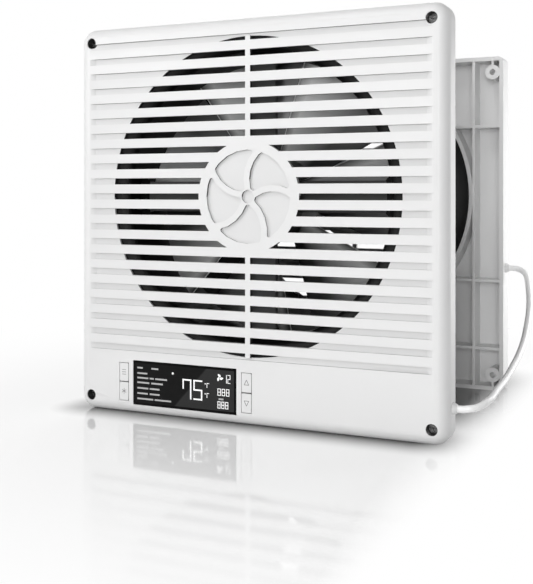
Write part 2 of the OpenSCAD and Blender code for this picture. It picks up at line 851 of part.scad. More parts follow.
front_cover();
display_lens();
display_panel();
display_holder();
control_board();
tact_switches();
remote_receiver();
menu_button();
mode_button();
up_button();
down_button();
power_jack();
board_screws();
mounting_plate();
cover_screws();
fan_screws();
fan_frame();
motor_board();
stator_core();
stator_windings();
front_bearing();
rear_bearing();
front_tube();
motor_shaft();
shaft_clip();
magnet_ring();
rotor_cup();
impeller();
rear_cover();
rear_tube();
front_grommet();
rear_grommet();
link_cable();
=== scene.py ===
import json
import math

import bmesh
import bpy
import numpy as np
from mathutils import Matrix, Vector


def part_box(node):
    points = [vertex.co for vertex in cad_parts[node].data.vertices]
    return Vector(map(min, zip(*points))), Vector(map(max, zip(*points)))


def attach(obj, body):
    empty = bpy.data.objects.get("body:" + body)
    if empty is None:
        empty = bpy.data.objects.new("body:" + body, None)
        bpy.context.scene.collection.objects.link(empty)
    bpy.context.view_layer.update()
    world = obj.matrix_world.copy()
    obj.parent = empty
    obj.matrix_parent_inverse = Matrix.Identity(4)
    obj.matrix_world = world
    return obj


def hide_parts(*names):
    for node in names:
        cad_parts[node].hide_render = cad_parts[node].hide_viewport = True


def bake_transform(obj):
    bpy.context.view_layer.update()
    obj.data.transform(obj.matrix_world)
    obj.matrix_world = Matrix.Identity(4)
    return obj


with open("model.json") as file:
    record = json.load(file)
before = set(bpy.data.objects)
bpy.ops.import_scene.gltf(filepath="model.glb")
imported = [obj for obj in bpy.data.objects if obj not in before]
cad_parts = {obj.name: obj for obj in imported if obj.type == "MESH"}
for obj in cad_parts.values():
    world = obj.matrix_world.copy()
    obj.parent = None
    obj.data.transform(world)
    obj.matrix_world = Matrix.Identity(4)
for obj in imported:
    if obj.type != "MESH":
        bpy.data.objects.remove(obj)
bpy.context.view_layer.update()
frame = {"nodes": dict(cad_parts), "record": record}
nodes = frame["nodes"]
slotOf = {row["node"]: row["material_slot"] for row in frame["record"]["subparts"]}
scene = bpy.context.scene
scene.view_settings.view_transform = "Standard"
mm = 0.001
print("frame loaded:", len(nodes), "nodes")

frontLow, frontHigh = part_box("front_cover")
lensLow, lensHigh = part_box("display_lens")
fanLow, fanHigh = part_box("impeller")
faceY = frontLow.y
axisZ = (fanLow.z + fanHigh.z) / 2


# Camera: it stands to the right of the fan, level, a little above the axis

cameraView = {
    "place": (0.2752, -0.6310, 0.1477),
    "turn": 23.99,             # degrees to the left of straight ahead
    "focal": 949,              # in pixels of the long side
    "longSide": 584,
    "centre": (266.5, 292),
    "axisAt": (301.5, 193.2),  # where the lens axis meets the picture
    "sensor": 36,              # width in millimetres
    "clip": (0.02, 60),
}


def makeCamera(view):
    data = bpy.data.cameras.new("camera")
    data.sensor_width = view["sensor"]
    data.lens = view["focal"] * view["sensor"] / view["longSide"]
    data.shift_x = (view["centre"][0] - view["axisAt"][0]) / view["longSide"]
    data.shift_y = (view["axisAt"][1] - view["centre"][1]) / view["longSide"]
    data.clip_start, data.clip_end = view["clip"]
    camera = bpy.data.objects.new("camera", data)
    camera.location = view["place"]
    camera.rotation_euler = (math.radians(90), 0, math.radians(view["turn"]))
    scene.collection.objects.link(camera)
    scene.camera = camera


makeCamera(cameraView)
print("camera placed")


# Small tools for meshes

def gridFaces(rows, cols, closed=False):
    # Quads of a grid with rows x cols points; closed joins the last column to the first
    last = cols if closed else cols - 1
    row, col = np.meshgrid(np.arange(rows - 1), np.arange(last), indexing="ij")
    here = row * cols + col
    there = row * cols + (col + 1) % cols
    return np.stack([here, there, there + cols, here + cols], axis=-1).reshape(-1, 4)


def meshObject(name, points, faces, sharp=35):
    # Faces that meet at more than the sharp angle, in degrees, keep a crisp edge
    mesh = bpy.data.meshes.new(name)
    mesh.from_pydata(np.asarray(points).tolist(), [], [list(map(int, face)) for face in faces])
    work = bmesh.new()
    work.from_mesh(mesh)
    bmesh.ops.recalc_face_normals(work, faces=work.faces)
    work.to_mesh(mesh)
    work.free()
    mesh.polygons.foreach_set("use_smooth", np.ones(len(mesh.polygons), bool))
    mesh.set_sharp_from_angle(angle=math.radians(sharp))
    made = bpy.data.objects.new(name, mesh)
    scene.collection.objects.link(made)
    return made


def joined(parts):
    # Several (points, faces) pairs as one pair
    points, faces, start = [], [], 0
    for somePoints, someFaces in parts:
        points.append(somePoints)
        faces.extend([[start + int(k) for k in face] for face in someFaces])
        start += len(somePoints)
    return np.vstack(points), faces


def fitPiece(made, body, slotName, material, *replaced):
    made.data.materials.append(material)
    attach(made, body)
    if replaced:
        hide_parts(*replaced)


# Small tools for materials

class Wire:
    # One output socket, so that shader maths reads as plain Python
    def __init__(self, paint, socket):
        self.paint = paint
        self.socket = socket

    def math(self, operation, *values):
        return self.paint.node("ShaderNodeMath", {"operation": operation}, dict(enumerate(values)))

    def absolute(self):
        return self.math("ABSOLUTE", self)

    def root(self):
        return self.math("SQRT", self)

    def orMore(self, other):
        return self.math("MAXIMUM", self, other)

    def within(self, reach, middle):
        # 1 up to this reach from the middle, 0 beyond
        return self.math("COMPARE", self, middle, reach)

    def __add__(self, other):
        return self.math("ADD", self, other)

    def __sub__(self, other):
        return self.math("SUBTRACT", self, other)

    def __rsub__(self, other):
        return self.math("SUBTRACT", other, self)

    def __mul__(self, other):
        return self.math("MULTIPLY", self, other)

    def __gt__(self, other):
        return self.math("GREATER_THAN", self, other)

    __radd__ = __add__
    __rmul__ = __mul__


class Paint:
    # The nodes of a new material under construction, or of another owner, such as the world
    def __init__(self, name, owner=None):
        self.owner = owner or bpy.data.materials.new(name)
        self.owner.use_nodes = True
        self.tree = self.owner.node_tree
        self.tree.nodes.clear()

    def node(self, kind, settings=None, inputs=None, output=0):
        made = self.tree.nodes.new(kind)
        for key, value in (settings or {}).items():
            if key == "stops":
                ramp = made.color_ramp.elements
                for index, (place, shade) in enumerate(value):
                    stop = ramp[index] if index < 2 else ramp.new(place)
                    stop.position = place
                    stop.color = (shade, shade, shade, 1)
            else:
                setattr(made, key, value)
        for key, value in (inputs or {}).items():
            if isinstance(value, Wire):
                self.tree.links.new(value.socket, made.inputs[key])
            else:
                made.inputs[key].default_value = value
        return Wire(self, made.outputs[output]) if made.outputs else made

    def coords(self, source="Object"):
        return self.node("ShaderNodeTexCoord", output=source)

    def split(self, vector):
        # X, Y and Z as three wires
        made = self.node("ShaderNodeSeparateXYZ", {}, {0: vector}).socket.node
        return [Wire(self, made.outputs[axis]) for axis in "XYZ"]

    def vector(self, operation, first, second=(0, 0, 0), output=0):
        return self.node("ShaderNodeVectorMath", {"operation": operation},
                         {0: first, 1: second}, output)

    def ramp(self, value, low, high, start=0.0, end=1.0):
        # Smoothly from start to end while the value goes from low to high
        return self.node("ShaderNodeMapRange", {"interpolation_type": "SMOOTHSTEP"}, {
            "Value": value, "From Min": low, "From Max": high, "To Min": start, "To Max": end})

    def noise(self, scale, detail=2.0, roughness=0.5, vector=None):
        return self.node("ShaderNodeTexNoise", {}, {
            "Vector": vector or self.coords(), "Scale": scale,
            "Detail": detail, "Roughness": roughness}, "Fac")

    def mixColour(self, factor, first, second):
        # A Mix node's colours are its inputs 6 and 7 and its output 2
        return self.node("ShaderNodeMix", {"data_type": "RGBA"},
                         {0: factor, 6: first, 7: second}, 2)

    def bump(self, height, distance, strength=1.0):
        return self.node("ShaderNodeBump", {}, {
            "Height": height, "Distance": distance, "Strength": strength})

    def principled(self, inputs):
        return self.node("ShaderNodeBsdfPrincipled", {}, inputs)

    def finish(self, shader):
        self.node("ShaderNodeOutputMaterial", {}, {"Surface": shader})
        return self.owner


def tone(level, tint=(1, 1, 1)):
    # A colour from an sRGB level of 0 to 255 and a tint
    share = level / 255
    linear = share / 12.92 if share < 0.04045 else ((share + 0.055) / 1.055) ** 2.4
    return (linear * tint[0], linear * tint[1], linear * tint[2], 1)


# Floor, background and light

studio = {
    "floorHalf": 12,
    "tone": 215,
    "roughness": 0.07,
    "index": 2.5,                   # how strongly the floor mirrors
    "lift": 0.27,                   # keeps the open floor white in the picture
    "footprint": (0.12, 0.09, 0),   # half width and depth of what stands on the floor
    "fade": (0.02, 0.32),           # the floor turns white between these distances from it
    "whiteSide": (0.105, 0.15),     # and between these X, to the right of the fan
    "skyForObject": 0.2,
    "paintedShadows": {                     # painted shadows: a box on the floor, and how far it fades out
        "frontUnit": {"middle": (0, -0.085, 0), "half": (0.124, 0.004, 0),
                      "fade": 0.032, "tone": 120},
        "rearUnit": {"middle": (0.02, 0.06, 0), "half": (0.09, 0.035, 0),
                     "fade": 0.09, "tone": 25},
    },
    "lamps": {
        "key": {"place": (-0.95, -1.05, 0.45), "aim": (0, 0, 0.13),
                "size": (0.6, 0.5), "power": 5.6},
        "top": {"place": (-0.25, -0.7, 1.15), "aim": (0, -0.1, 0.13),
                "size": (0.5, 0.3), "power": 2.9},
        "side": {"place": (0.34, -1.2, 0.28), "aim": (0.05, 0, 0.13),
                 "size": (0.16, 0.4), "power": 3.7},
        "edge": {"place": (0.6, -1.15, 0.3), "aim": (0.12, -0.08, 0.13),
                 "size": (0.2, 0.4), "power": 1.4},
        "rear": {"place": (0.28, 0.2, 0.14), "aim": (0.12, 0.09, 0.12),
                 "size": (0.12, 0.26), "power": 0.44},
        "back": {"place": (-0.5, 1.2, 0.8), "aim": (0, 0, 0.13),
                 "size": (0.7, 0.7), "power": 5.0},
    },
}


def seenDirectly(paint):
    # 1 for camera, mirror and glass rays, 0 for the rays that light the object
    path = paint.node("ShaderNodeLightPath").socket.node
    camera, mirror, glass = (Wire(paint, path.outputs[name]) for name in (
        "Is Camera Ray", "Is Glossy Ray", "Is Transmission Ray"))
    return camera + mirror + glass > 0.5


def awayFrom(paint, middle, half, near, far):
    # 0 on a box on the floor and near it, rising smoothly to 1 at the distance far from it
    spot = paint.vector("ABSOLUTE", paint.vector("SUBTRACT", paint.coords(), middle))
    outside = paint.vector("MAXIMUM", paint.vector("SUBTRACT", spot, half))
    return paint.ramp(paint.vector("LENGTH", outside, output="Value"), near, far)


def floorMaterial(setup):
    # A glossy floor round the object with shadows painted under the two units, which turns
    # plain white in the picture further out
    paint = Paint("floor")
    direct = seenDirectly(paint)
    beside = paint.ramp(paint.split(paint.coords())[0], *setup["whiteSide"])
    white = awayFrom(paint, (0, 0, 0), setup["footprint"], *setup["fade"]).orMore(beside)
    colour, lit = tone(setup["tone"]), direct
    # painted shadows under the units: a darker floor, and less of the lift there
    for shade in setup["paintedShadows"].values():
        clear = awayFrom(paint, shade["middle"], shade["half"], 0, shade["fade"])
        colour = paint.mixColour(clear, tone(shade["tone"]), colour)
        lit = lit * clear
    gloss = paint.principled({
        "Base Color": colour, "Roughness": setup["roughness"], "IOR": setup["index"],
        "Emission Color": paint.mixColour(lit, (0, 0, 0, 1), (1, 1, 1, 1)),
        "Emission Strength": setup["lift"]})
    glow = paint.node("ShaderNodeEmission", {}, {"Strength": 1.0})
    return paint.finish(paint.node("ShaderNodeMixShader", {}, {
        0: white * direct, 1: gloss, 2: glow}))


def makeStudio(setup):
    half = setup["floorHalf"]
    corners = [(-half, -half, 0), (half, -half, 0), (half, half, 0), (-half, half, 0)]
    floor = meshObject("floor", corners, [(0, 1, 2, 3)])
    floor.data.materials.append(floorMaterial(setup))
    world = Paint("world", bpy.data.worlds.new("world"))
    strength = setup["skyForObject"] + (1 - setup["skyForObject"]) * seenDirectly(world)
    sky = world.node("ShaderNodeBackground", {}, {"Color": (1, 1, 1, 1), "Strength": strength})
    world.node("ShaderNodeOutputWorld", {}, {"Surface": sky})
    scene.world = world.owner
    for name, lamp in setup["lamps"].items():
        data = bpy.data.lights.new(name, "AREA")
        data.shape = "RECTANGLE"
        data.size, data.size_y = lamp["size"]
        data.energy = lamp["power"]
        made = bpy.data.objects.new(name, data)
        made.location = lamp["place"]
        toward = Vector(lamp["aim"]) - Vector(lamp["place"])
        made.rotation_euler = toward.to_track_quat("-Z", "Y").to_euler()
        made.visible_camera = False
        scene.collection.objects.link(made)


makeStudio(studio)
print("studio lit")


# Finishes: moulded plastic, and what darkens it in places (painted shade on front and keys)

moulding = {
    "drift": 9,            # scale of the slow drift of tone
    "spark": 1500,         # scale of the spark-eroded grain
    "patches": 60,         # scale of the duller and shinier patches
    "patchShine": 0.06,    # how much roughness the patches and the grain add
    "sparkShine": 0.04,
}


def mouldedPlastic(name, level, roughness, grain=0.012, speckle=0.02, gloss=0.5, shade=None):
    # Satin moulded plastic with a grain in millimetres; shade is a function that gives pairs of
    # a mask and the tone that it brings in
    paint = Paint(name)
    drift = paint.noise(moulding["drift"], 3)
    spark = paint.noise(moulding["spark"], 2, 0.6)
    colour = paint.mixColour(drift, tone(level * (1 - speckle)), tone(level * (1 + speckle)))
    for mask, under in (shade(paint) if shade else []):
        colour = paint.mixColour(mask, colour, tone(under))
    least = roughness - (moulding["patchShine"] + moulding["sparkShine"]) / 2
    patches = moulding["patchShine"] * paint.noise(moulding["patches"], 2)
    return paint.finish(paint.principled({
        "Base Color": colour, "Roughness": least + patches + moulding["sparkShine"] * spark,
        "Specular IOR Level": gloss, "Normal": paint.bump(spark, grain * mm)}))


grooveShade = {                  # the field of grooves and pockets on the front face, where shade is painted
    "side": frontHigh.x - 8.7 * mm,
    "low": 36 * mm,
    "high": frontHigh.z - 8.7 * mm,
    "from": 0.06 * mm,     # depth behind the face where the painted shade starts
    "floor": 0.3 * mm,     # depth from which a flat place is a groove's floor
    "flat": (0.5, 0.97),   # how squarely a wall and a floor face the front
    "upShare": 0.45,       # what walls that face up take of the walls' painted shade
    "wallShadeTone": 48,
    "floorShadeTone": 190,
    "floorShadeShare": 0.16,
}
wellPaintedShade = {                  # painted shade in the wells round the corner screws
    "side": frontHigh.x - 10 * mm,
    "low": frontLow.z + 10 * mm,
    "high": frontHigh.z - 10 * mm,
    "split": (frontLow.z + frontHigh.z) / 2,
    "from": 1.0 * mm,
    "radius": 3.75 * mm,
    "tone": 40,
}


def frontPaintedShade(paint):
    # Painted shade: the grooves and pockets of the front face are a little darker, their walls
    # more so, most where they face down; the wells round the corner screws are darkest
    x, y, z = paint.split(paint.coords())
    faceBack, faceUp = paint.split(paint.coords("Normal"))[1:]
    deep = y - faceY
    field = (deep > grooveShade["from"]) * (1 - (x.absolute() > grooveShade["side"]))
    field = field * (z > grooveShade["low"]) * (1 - (z > grooveShade["high"]))
    flat = paint.ramp(faceBack.absolute(), *grooveShade["flat"])
    facing = grooveShade["upShare"] + (1 - grooveShade["upShare"]) * (1 - (faceUp > 0))
    groove = field * (deep > grooveShade["floor"]) * flat
    across = x.absolute() - wellPaintedShade["side"]
    up = z - (wellPaintedShade["low"] + (z > wellPaintedShade["split"]) * (wellPaintedShade["high"] - wellPaintedShade["low"]))
    away = (across * across + up * up).root()
    sunk = (1 - (away > wellPaintedShade["radius"])) * (deep > wellPaintedShade["from"])
    return [(field * (1 - flat) * facing, grooveShade["wallShadeTone"]),
            (groove * grooveShade["floorShadeShare"], grooveShade["floorShadeTone"]), (sunk, wellPaintedShade["tone"])]


keyWallPaintedShade = {"flat": (0.55, 0.9), "tone": 70}   # how squarely a wall and a face look forward


def keyPaintedShade(paint):
    # Painted shade: the keys' walls are darker, as the gaps round the keys are in shade,
    # which draws their outline in the panel
    back = paint.split(paint.coords("Normal"))[1]
    return [(1 - paint.ramp(back.absolute(), *keyWallPaintedShade["flat"]), keyWallPaintedShade["tone"])]


fanRing = {"armReach": 86 * mm, "tone": 7}


def ringShade(paint):
    # Outside the arms the fan's frame is as black as the duct
    x, _, z = paint.split(paint.coords())
    up = z - axisZ
    return [((x * x + up * up).root() > fanRing["armReach"], fanRing["tone"])]


# Other finishes

bladePaintedSheen = {
    # the painted sheen: the tone from the far edge of a blade, 0, to the edge that meets the
    # air, 1, with a thin painted highlight right on that edge
    "stops": [(0.0, 0.002), (0.3, 0.01), (0.6, 0.4), (0.88, 0.8), (0.985, 0.01), (1.0, 0.9)],
    "roughness": 0.38,
    "unevenness": 0.02,
    "grain": 900,
    "index": 2.3,
}


def bladeSheenFinish():
    # Polished black blades with a painted sheen towards the edge that meets the air and a thin
    # painted highlight on it; U runs across the blade
    paint = Paint("impellerPaintedSheen")
    place = paint.split(paint.node("ShaderNodeUVMap", {"uv_map": "blade"}, {}, "UV"))[0]
    level = paint.node("ShaderNodeValToRGB", {"stops": bladePaintedSheen["stops"]}, {0: place}, "Color")
    shine = bladePaintedSheen["roughness"] + bladePaintedSheen["unevenness"] * paint.noise(bladePaintedSheen["grain"], 2)
    return paint.finish(paint.principled({
        "Base Color": level, "Roughness": shine, "IOR": bladePaintedSheen["index"]}))


metalLook = {
    "lines": (900, 40, 900),   # scale of the turning marks along X, Y and Z
    "lineShine": 0.15,
    "lineDepth": 0.01 * mm,
    "patches": 120,
    "patchShare": 0.9,         # tone of the duller patches, as a share of the metal's
}


def turnedMetal(name, level, tint, roughness):
    # Metal with fine turning marks round the fan's axis and a little unevenness
    paint = Paint(name)
    place = paint.vector("MULTIPLY", paint.coords(), metalLook["lines"])
    lines = paint.noise(1, 3, vector=place)
    patches = paint.noise(metalLook["patches"], 3)
    dull = tone(level * metalLook["patchShare"], tint)
    return paint.finish(paint.principled({
        "Base Color": paint.mixColour(patches, dull, tone(level, tint)), "Metallic": 1.0,
        "Roughness": roughness + metalLook["lineShine"] * lines,
        "Normal": paint.bump(lines, metalLook["lineDepth"])}))


boardLook = {
    "tracks": 160,
    "trackWidth": 0.09,
    "trackDepth": 0.03 * mm,
    "mask": (0.012, 0.09, 0.035, 1),
    "track": (0.03, 0.17, 0.07, 1),
    "roughness": 0.35,
}


def boardFinish():
    # Solder mask over copper tracks, as a fine maze of raised lines
    paint = Paint("boardGreen")
    cells = paint.node("ShaderNodeTexVoronoi", {"feature": "DISTANCE_TO_EDGE"}, {
        "Vector": paint.coords(), "Scale": boardLook["tracks"]}, "Distance")
    tracks = 1 - (cells > boardLook["trackWidth"])
    return paint.finish(paint.principled({
        "Base Color": paint.mixColour(tracks, boardLook["mask"], boardLook["track"]),
        "Roughness": boardLook["roughness"],
        "Normal": paint.bump(tracks, boardLook["trackDepth"])}))


windingLook = {
    "turns": 900,
    "waver": 1.0,
    "turnDepth": 0.1 * mm,
    "between": (0.32, 0.1, 0.035, 1),
    "wire": (0.62, 0.26, 0.11, 1),
    "metal": 0.85,
    "roughness": 0.35,
}


def windingFinish():
    # Enamelled wire laid side by side
    paint = Paint("windingCopper")
    turns = paint.node("ShaderNodeTexWave", {"bands_direction": "Y"}, {
        "Vector": paint.coords(), "Scale": windingLook["turns"],
        "Distortion": windingLook["waver"]}, "Fac")
    return paint.finish(paint.principled({
        "Base Color": paint.mixColour(turns, windingLook["between"], windingLook["wire"]),
        "Metallic": windingLook["metal"], "Roughness": windingLook["roughness"],
        "Normal": paint.bump(turns, windingLook["turnDepth"])}))


inkLook = {"grain": 900, "thinShare": 0.94, "roughness": 0.5}


def inkFinish(name, level, glow):
    # Display segments and printed marks, very slightly uneven
    paint = Paint(name)
    thin = tone(level * inkLook["thinShare"])
    colour = paint.mixColour(paint.noise(inkLook["grain"], 2), thin, tone(level))
    return paint.finish(paint.principled({
        "Base Color": colour, "Roughness": inkLook["roughness"],
        "Emission Color": colour, "Emission Strength": glow}))


lensHidden = 3.1 * mm          # what the cover's edge hides of the lens, both sides together
window = {
    "middle": ((lensLow.x + lensHigh.x) / 2, (lensLow.z + lensHigh.z) / 2),
    "width": lensHigh.x - lensLow.x - lensHidden,
    "height": lensHigh.z - lensLow.z - lensHidden,
    "border": 1.6 * mm,
    "borderTone": 2,
    # the field's tone within the painted reflection; elsewhere the field takes the dim share of it
    "fieldTone": 50,
    "slope": 0.9,              # of the line where the painted reflection starts
    "paintedReflection": (4 * mm, 6 * mm),
    "dimShare": 0.2,
    "roughness": 0.35,
    "gloss": 0.06,
}


def glassFinish():
    # Black display window: a dark border, and a slightly paler field with a soft slanting
    # painted reflection
    paint = Paint("windowBlack")
    x, _, z = paint.split(paint.coords())
    middleX, middleZ = window["middle"]
    inside = (x.within(window["width"] / 2 - window["border"], middleX)
              * z.within(window["height"] / 2 - window["border"], middleZ))
    slant = (x - middleX) - window["slope"] * (z - middleZ)
    paintedReflection = paint.ramp(slant, *window["paintedReflection"], window["dimShare"], 1.0)
    colour = paint.mixColour(inside * paintedReflection, tone(window["borderTone"]), tone(window["fieldTone"]))
    return paint.finish(paint.principled({
        "Base Color": colour, "Roughness": window["roughness"],
        "Specular IOR Level": window["gloss"]}))


finishes = {
    "white_abs": mouldedPlastic("panelWhite", 232, 0.36),
    "front": mouldedPlastic("frontWhitePaintedShade", 232, 0.4, gloss=0.35, shade=frontPaintedShade),
    "key_plastic": mouldedPlastic("keyWhite", 230, 0.42, shade=keyPaintedShade),
    "display_glass": glassFinish(),
    "display_cell": mouldedPlastic("cellDark", 40, 0.2),
    "black_plastic": mouldedPlastic("ductBlack", 12, 0.6, 0.02, gloss=0.025),
    "frame": mouldedPlastic("frameBlack", 90, 0.5, 0.02, gloss=0.2, shade=ringShade),
    "dark_plastic": mouldedPlastic("partBlack", 46, 0.5),
    "circuit_board": boardFinish(),
    "steel": turnedMetal("zincSteel", 205, (1, 1, 0.99), 0.24),
    # the corner screws are a darker steel, painted shade in their deep wells
    "screwInShadedWell": turnedMetal("wellShadeZinc", 120, (1, 1, 1), 0.2),
    "copper": windingFinish(),
    "ferrite": mouldedPlastic("ferriteGrey", 70, 0.6, 0.03),
    "white_rubber": mouldedPlastic("grommetWhite", 226, 0.55, 0.01),
    "cable_jacket": mouldedPlastic("cableWhite", 252, 0.3, 0.004),
    "impeller": bladeSheenFinish(),
    "litMark": inkFinish("markWhite", 235, 0.5),
    "rowMark": inkFinish("markGrey", 170, 0.25),
    "signInk": inkFinish("signGrey", 100, 0.0),
}
ownFinish = {"front_cover": "front", "fan_frame": "frame", "cover_screws": "screwInShadedWell"}
for name, node in nodes.items():
    node.data.materials.clear()
    node.data.materials.append(finishes[ownFinish.get(name, slotOf[name])])
print("finishes made:", len(finishes))


# Link cable

cable = {
    "diameter": 4.3 * mm,
    "sides": 20,
    "stepsPerStretch": 7,
    "slot": "cable_jacket",
    # the same points as the solid's route, in millimetres
    "route": [
        (128, 84, 91.5), (130.5, 84, 91.5), (134.5, 83.5, 91), (138.5, 81.5, 89.5),
        (141.5, 78.5, 87), (143.5, 74, 83), (146, 65, 76), (148, 56, 69.5), (149.5, 45, 62),
        (150.5, 33, 55.5), (151.5, 20.5, 50), (152, 7.5, 45), (152, -6, 40.5),
        (151.5, -19.5, 36.5), (151, -33, 33), (150, -46, 30), (149, -58, 27.5),
        (148.5, -67, 25.5), (147.5, -74, 24.5), (146, -79.5, 23.5), (143.5, -83.5, 22.5),
        (140, -86, 22), (136, -86.7, 21.5), (133, -86.7, 21.5),
    ],
}


def smoothPath(points, steps):
    # Catmull-Rom curve: it passes each point in the direction from the one before to the one
    # after, and between two points it is a cubic of the share of the way
    points = np.asarray(points, float)
    ends = np.vstack([2 * points[0] - points[1], points, 2 * points[-1] - points[-2]])
    share = np.linspace(0, 1, steps, endpoint=False)[None, :, None]
    before, here, there, after = (ends[k:len(ends) - 3 + k, None, :] for k in range(4))
    line = here + 0.5 * share * (there - before + share * (
        2 * before - 5 * here + 4 * there - after
        + share * (3 * (here - there) + after - before)))
    return np.vstack([line.reshape(-1, 3), points[-1:]])


def tube(path, radius, sides):
    # Rings square to the path: radius times cos of the angle sideways, level with the floor,
    # and sin of it upwards
    ahead = np.gradient(path, axis=0)
    ahead /= np.linalg.norm(ahead, axis=1)[:, None]
    side = np.cross(ahead, (0, 0, 1))
    side /= np.linalg.norm(side, axis=1)[:, None]
    over = np.cross(side, ahead)
    angle = np.linspace(0, 2 * np.pi, sides, endpoint=False)
    rings = (path[:, None, :] + radius * (np.cos(angle)[None, :, None] * side[:, None, :]
             + np.sin(angle)[None, :, None] * over[:, None, :]))
    count = len(path)
    points = np.vstack([rings.reshape(-1, 3), path[:1], path[-1:]])
    walls = gridFaces(count, sides, closed=True)
    turn = np.arange(sides)
    startCap = [(count * sides, (k + 1) % sides, k) for k in turn]
    last = (count - 1) * sides
    endCap = [(count * sides + 1, last + k, last + (k + 1) % sides) for k in turn]
    return points, [*walls.tolist(), *startCap, *endCap]


def makeCable(setup):
    path = smoothPath(np.array(setup["route"]) * mm, setup["stepsPerStretch"])
    points, faces = tube(path, setup["diameter"] / 2, setup["sides"])
    made = meshObject("cable", points, faces)
    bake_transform(made)
    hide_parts("link_cable")
    made.data.materials.append(finishes[setup["slot"]])


makeCable(cable)
print("cable laid")


# Impeller: seven skewed blades on a hub

fan = {
    "blades": 7,
    "hubRadius": 28 * mm,
    "hubWall": 2.6 * mm,
    "hubRound": 1.6 * mm,      # where the hub's wall meets its closed end
    "hubEdge": 0.3 * mm,       # at its open end
    "hubSides": 96,
    "tipRadius": 91.25 * mm,
    "footSunk": 1.2 * mm,      # how far a blade's foot reaches into the hub
    "span": 46,                # degrees that a blade covers
    "turn": 28.5,              # degrees from level down to the first blade's front edge
    "footDepth": 22 * mm,
    "tipDepth": 18 * mm,
    "belly": 1.6 * mm,
    "thickness": 1.8 * mm,
    "edgeShare": 0.35,         # thickness beside the edges, as a share of the middle's
    "rows": 28,
    "across": 22,
}


def bladeSurface(setup, middleY, turn):
    # Around the section u runs once round; its place across the blade is c = (1 - cos u) / 2.
    # The radius grows from foot to tip, the angle grows with c, the lift is a slope less a
    # belly, and the half thickness is a root of sin u times a swell in the middle
    rows, across = setup["rows"], setup["across"]
    out = np.linspace(0, 1, rows)[:, None]
    u = np.linspace(0, 2 * np.pi, 2 * across, endpoint=False)[None, :]
    c = (1 - np.cos(u)) / 2
    foot = setup["hubRadius"] - setup["footSunk"]
    radius = foot + out * (setup["tipRadius"] - foot)
    reach = setup["footDepth"] + out * (setup["tipDepth"] - setup["footDepth"])
    angle = np.radians((c - 1) * setup["span"] - turn) + 0 * out
    swell = setup["edgeShare"] + (1 - setup["edgeShare"]) * np.sin(np.pi * c)
    half = setup["thickness"] / 2 * swell * np.sign(np.sin(u)) * np.sqrt(np.abs(np.sin(u)))
    lift = (c - 0.5) * reach - setup["belly"] * np.sin(np.pi * c) + half
    points = np.stack([radius * np.cos(angle), middleY - lift,
                       axisZ + radius * np.sin(angle)], axis=-1)
    count = 2 * across
    faces = gridFaces(rows, count, closed=True).tolist()
    for start in (0, (rows - 1) * count):      # foot and tip are closed with a strip of quads
        for k in range(across):
            rim = [k, k + 1, (count - k - 1) % count, (count - k) % count]
            faces.append([start + index for index in dict.fromkeys(rim)])
    return points.reshape(-1, 3), faces


def turnedSolid(profile, sides):
    # Radius and Y of the profile, carried round the fan's axis; its ends lie on the axis
    profile = np.asarray(profile, float)
    angle = np.linspace(0, 2 * np.pi, sides, endpoint=False)[None, :]
    radius, along = profile[1:-1, 0][:, None], profile[1:-1, 1][:, None]
    ring = np.stack([radius * np.cos(angle), along + 0 * angle,
                     axisZ + radius * np.sin(angle)], axis=-1)
    rows = len(profile) - 2
    ends = [(0, profile[0, 1], axisZ), (0, profile[-1, 1], axisZ)]
    points = np.vstack([ring.reshape(-1, 3), ends])
    faces = gridFaces(rows, sides, closed=True).tolist()
    last = (rows - 1) * sides
    for k in range(sides):
        faces.append([rows * sides, (k + 1) % sides, k])
        faces.append([rows * sides + 1, last + k, last + (k + 1) % sides])
    return points, faces


def quarterRound(middle, radius, start, steps=6):
    # A quarter of a circle in radius and Y, from the angle start, in degrees
    angle = np.radians(np.linspace(start, start + 90, steps))
    return [(middle[0] + radius * np.cos(a), middle[1] + radius * np.sin(a)) for a in angle]


def mapBlades(made, setup, hubCount):
    # U is the place across the blade, from 0 at the far edge to 1 at the near one; the hub has 0
    count = 2 * setup["across"]
    across = (1 - np.cos(np.linspace(0, 2 * np.pi, count, endpoint=False))) / 2
    onBlades = np.tile(across, setup["rows"] * setup["blades"])
    perPoint = np.concatenate([np.zeros(hubCount), onBlades])
    corner = np.empty(len(made.data.loops), np.int32)
    made.data.loops.foreach_get("vertex_index", corner)
    layer = made.data.uv_layers.new(name="blade")
    places = np.column_stack([perPoint[corner], np.zeros(len(corner))])
    layer.data.foreach_set("uv", places.ravel())


def makeImpeller(setup):
    outer, bend, edge = setup["hubRadius"], setup["hubRound"], setup["hubEdge"]
    inner, inside = outer - setup["hubWall"], fanHigh.y - setup["hubWall"]
    profile = [(0, inside), (inner, inside), (inner, fanLow.y),
               (outer - edge, fanLow.y), (outer, fanLow.y + edge),
               *quarterRound((outer - bend, fanHigh.y - bend), bend, 0), (0, fanHigh.y)]
    parts = [turnedSolid(profile, setup["hubSides"])]
    for index in range(setup["blades"]):
        turn = setup["turn"] + index * 360 / setup["blades"]
        parts.append(bladeSurface(setup, (fanLow.y + fanHigh.y) / 2, turn))
    made = meshObject("fanImpeller", *joined(parts))
    mapBlades(made, setup, len(parts[0][0]))
    fitPiece(made, "fan_rotor", "black_plastic", finishes["impeller"], "impeller")


makeImpeller(fan)
print("impeller made")


# What the display shows: plain digits, bars and a small fan, as thin raised marks on the window

